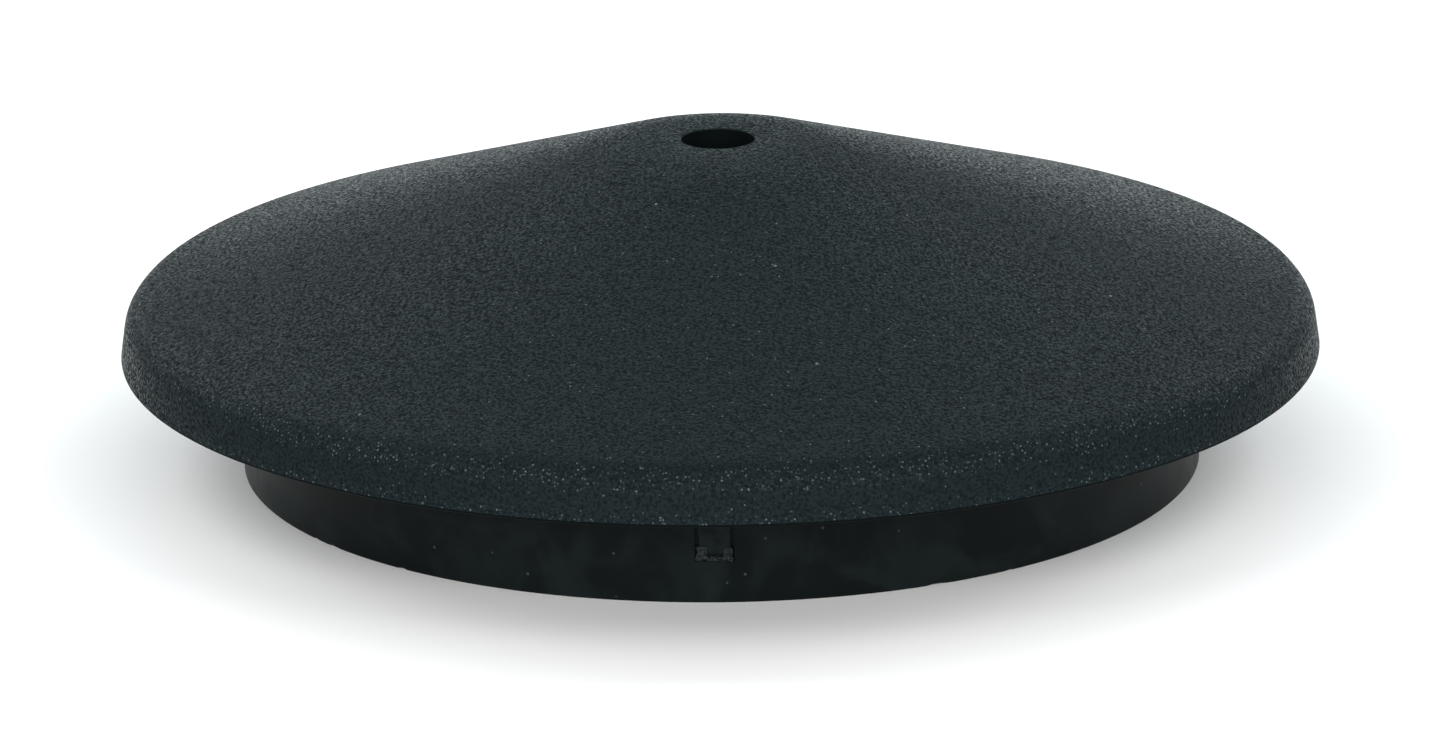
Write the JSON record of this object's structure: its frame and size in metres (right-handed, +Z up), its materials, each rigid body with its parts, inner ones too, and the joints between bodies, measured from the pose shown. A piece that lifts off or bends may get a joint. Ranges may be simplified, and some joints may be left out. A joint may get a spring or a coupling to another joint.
{
  "type": "desk grommet",
  "caption": "Round domed desk grommet: a grained black plastic cap with a central cord hole plugs into a smooth flanged liner ring and lifts off it.",
  "frame": {"origin": "on the axis, at the height of the liner ring's lower edge, which the object stands on", "axes": "+Z up along the axis, towards the cord hole; -Y is the front, the side of the liner's gate recess; the desk's surface is the plane 9.5 mm above the origin"},
  "size_m": [0.1, 0.1, 0.0274],
  "materials": {
    "cap_plastic": "black moulded plastic with a fine raised grain on its outer faces",
    "liner_plastic": "black moulded plastic, smooth and semi-gloss"
  },
  "bodies": {
    "liner": {"liner_ring": "liner_plastic"},
    "cap": {"dome_cap": "cap_plastic"}
  },
  "joints": [
    {"name": "cap_lift", "type": "slide", "parent": "liner", "child": "cap", "axis": [0, 0, 1], "range_m": [0, 0.009]}
  ]
}
